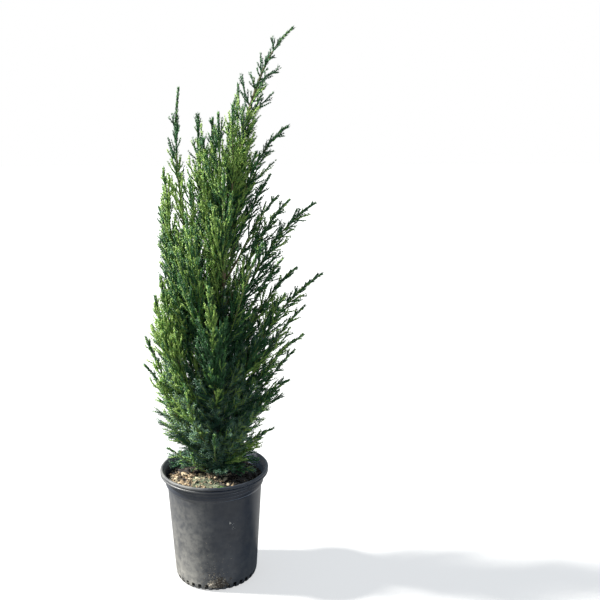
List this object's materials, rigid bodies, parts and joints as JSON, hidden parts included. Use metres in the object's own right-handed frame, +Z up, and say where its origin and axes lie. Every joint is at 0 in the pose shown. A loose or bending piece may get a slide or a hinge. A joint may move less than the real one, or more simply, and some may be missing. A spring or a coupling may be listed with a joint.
{
  "type": "potted juniper",
  "caption": "Young upright juniper with a narrow feathery crown of rising shoots and a leader that leans to one side, growing in a round black tapered nursery pot.",
  "frame": {"origin": "centre of the pot's flat underside", "axes": "+Z up; the picture looks along +Y, and the leader leans towards +X"},
  "size_m": [0.2608, 0.1846, 0.819],
  "materials": {
    "pot_plastic": "dusty matte black",
    "potting_mix": "loose ground bark",
    "bark": "thin peeling bark",
    "needles": "satin green needles"
  },
  "bodies": {
    "root": {"bough_01": "bark", "bough_02": "bark", "bough_03": "bark", "foliage_01": "needles", "foliage_02": "needles", "foliage_03": "needles", "foliage_04": "needles", "foliage_05": "needles", "foliage_06": "needles", "foliage_07": "needles", "foliage_08": "needles", "foliage_09": "needles", "foliage_10": "needles", "foliage_11": "needles", "foliage_12": "needles", "foliage_13": "needles", "foliage_14": "needles", "foliage_15": "needles", "foliage_16": "needles", "foliage_17": "needles", "foliage_18": "needles", "foliage_19": "needles", "foliage_20": "needles", "foliage_21": "needles", "foliage_22": "needles", "foliage_23": "needles", "foliage_24": "needles", "foliage_25": "needles", "foliage_26": "needles", "foliage_27": "needles", "foliage_28": "needles", "foliage_29": "needles", "foliage_30": "needles", "foliage_31": "needles", "foliage_32": "needles", "foliage_33": "needles", "foliage_34": "needles", "foliage_35": "needles", "foliage_36": "needles", "foliage_37": "needles", "foliage_38": "needles", "foliage_39": "needles", "foliage_40": "needles", "foliage_41": "needles", "foliage_42": "needles", "foliage_43": "needles", "foliage_44": "needles", "foliage_45": "needles", "foliage_46": "needles", "foliage_47": "needles", "foliage_48": "needles", "foliage_49": "needles", "foliage_50": "needles", "foliage_51": "needles", "foliage_52": "needles", "foliage_53": "needles", "foliage_leader": "needles", "pot": "pot_plastic", "soil": "potting_mix", "trunk": "bark"}
  },
  "joints": []
}
